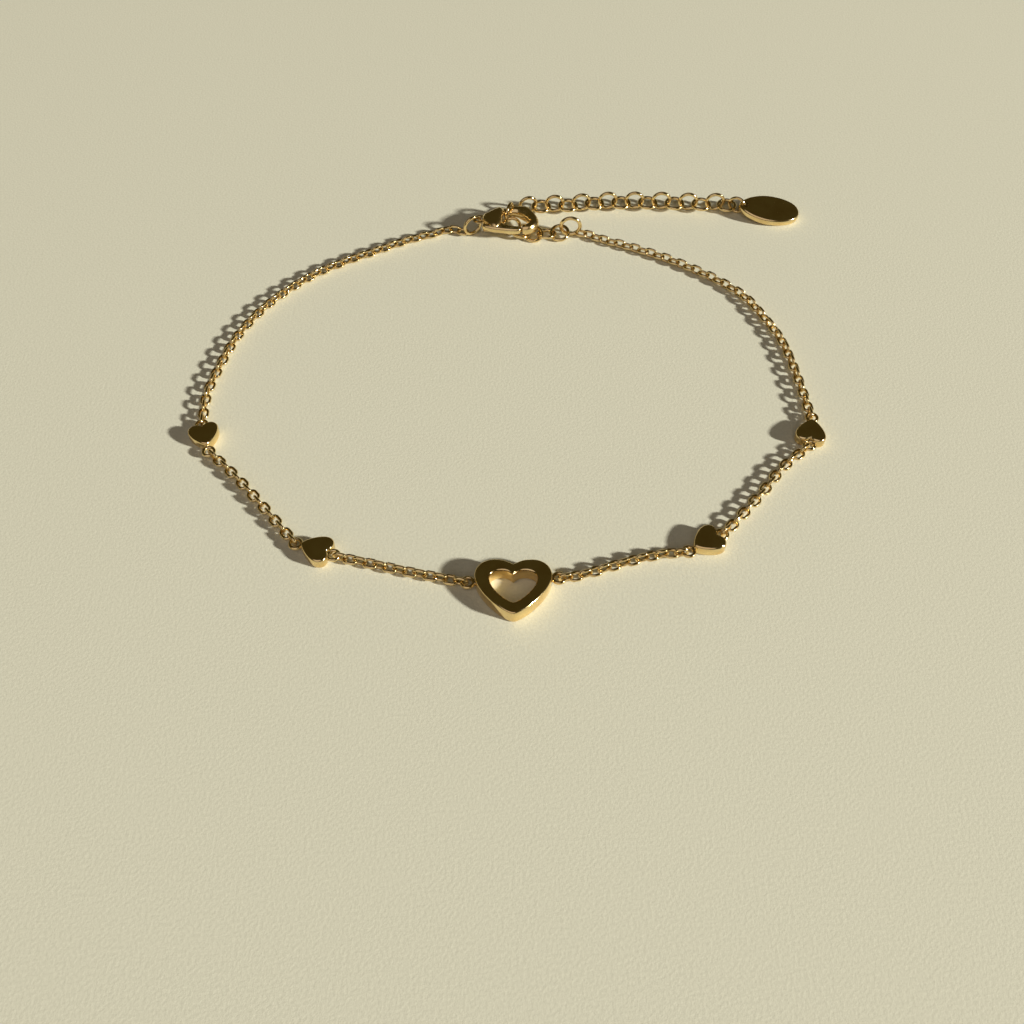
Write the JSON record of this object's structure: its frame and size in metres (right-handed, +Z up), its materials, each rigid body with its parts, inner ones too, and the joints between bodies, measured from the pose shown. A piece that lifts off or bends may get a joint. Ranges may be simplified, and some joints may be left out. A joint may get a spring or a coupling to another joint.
{
  "type": "charm bracelet",
  "caption": "Fine cable-chain bracelet with an open centre heart, small solid hearts, a sprung lobster clasp and a link extender ending in a leaf-shaped drop.",
  "frame": {"origin": "middle of the bracelet's bounding box, on the table that it lies on", "axes": "+X across the loop towards the extender's free end, +Y from the centre heart to the clasp, +Z up from the table"},
  "size_m": [0.0684, 0.0618, 0.0029],
  "materials": {
    "gold": "mirror-polished gold plate"
  },
  "bodies": {
    "bracelet": {"centre_heart": "gold", "heart_left_back": "gold", "heart_left_front": "gold", "heart_right_front": "gold", "heart_right_back": "gold", "chain_left_back": "gold", "chain_left_side": "gold", "chain_left_front": "gold", "chain_right_front": "gold", "chain_right_side": "gold", "chain_right_back": "gold", "clasp_ring": "gold", "clasp_body": "gold", "end_ring": "gold", "extender_chain": "gold", "tag_ring": "gold", "end_tag": "gold"},
    "clasp_lever": {"clasp_lever": "gold"}
  },
  "joints": [
    {"name": "clasp_lever_hinge", "type": "hinge", "parent": "bracelet", "child": "clasp_lever", "pos_m": [-0.003, 0.02403, 0.0018], "axis": [0, 0, 1], "range_deg": [0, 20], "stiffness_Nm_per_rad": 0.0005, "springref_deg": -11.46}
  ]
}
